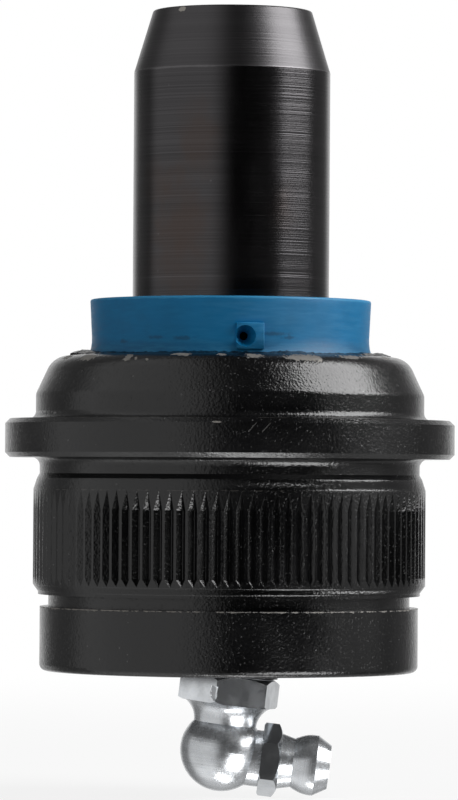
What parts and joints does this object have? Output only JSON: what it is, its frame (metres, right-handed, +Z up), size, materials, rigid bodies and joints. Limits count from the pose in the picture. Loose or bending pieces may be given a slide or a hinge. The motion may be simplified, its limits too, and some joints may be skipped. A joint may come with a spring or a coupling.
{
  "type": "suspension ball joint",
  "caption": "Press-in ball joint: a straight ball stud tilts and turns in a knurled, flanged housing with a low dust seal and a leaning elbow grease fitting.",
  "frame": {"origin": "centre of the ball, on the housing's axis and inside the knurled press-fit band", "axes": "+Z up the stud, away from the base; +X towards the side that the grease nipple points to; the seal's vent faces -Y"},
  "size_m": [0.0478, 0.0478, 0.0835],
  "materials": {
    "coated_steel": "black electrocoat with a fine orange-peel gloss",
    "stud_steel": "dark oxide over fine turning marks",
    "race_steel": "ground bearing steel",
    "spring_steel": "oiled spring steel",
    "zinc": "bright zinc plate over turned steel",
    "seal_rubber": "satin blue moulded rubber"
  },
  "bodies": {
    "housing": {"housing": "coated_steel", "upper_race": "race_steel", "cover_plate": "coated_steel", "lower_spring": "spring_steel", "upper_spring": "spring_steel", "elbow_fitting": "zinc", "grease_nipple": "zinc", "check_spring": "spring_steel", "bead_ring": "spring_steel"},
    "spring_seat": {"thrust_washer": "spring_steel"},
    "bearing": {"lower_bearing": "race_steel"},
    "seal_lip": {"dust_seal": "seal_rubber", "lip_ring": "spring_steel"},
    "stud": {"ball_stud": "stud_steel"},
    "check_ball": {"check_ball": "race_steel"}
  },
  "joints": [
    {"name": "seat_preload", "type": "slide", "parent": "housing", "child": "spring_seat", "axis": [0, 0, -1], "range_m": [0, 0.0004], "stiffness_N_per_m": 20000, "springref_m": -0.002, "deforming": ["lower_spring", "upper_spring", "dust_seal"]},
    {"name": "swing_direction", "type": "hinge", "parent": "spring_seat", "child": "bearing", "pos_m": [0, 0, 0], "axis": [0, 0, 1], "continuous": true},
    {"name": "stud_tilt", "type": "hinge", "parent": "bearing", "child": "seal_lip", "pos_m": [0, 0, 0], "axis": [0, 1, 0], "range_deg": [-15, 15], "deforming": ["dust_seal"]},
    {"name": "stud_spin", "type": "hinge", "parent": "seal_lip", "child": "stud", "pos_m": [0, 0, 0], "axis": [0, 0, 1], "continuous": true},
    {"name": "check_ball_lift", "type": "slide", "parent": "housing", "child": "check_ball", "axis": [-0.993, 0, 0.1184], "range_m": [0, 0.0008], "stiffness_N_per_m": 300, "springref_m": -0.002, "deforming": ["check_spring"]}
  ]
}
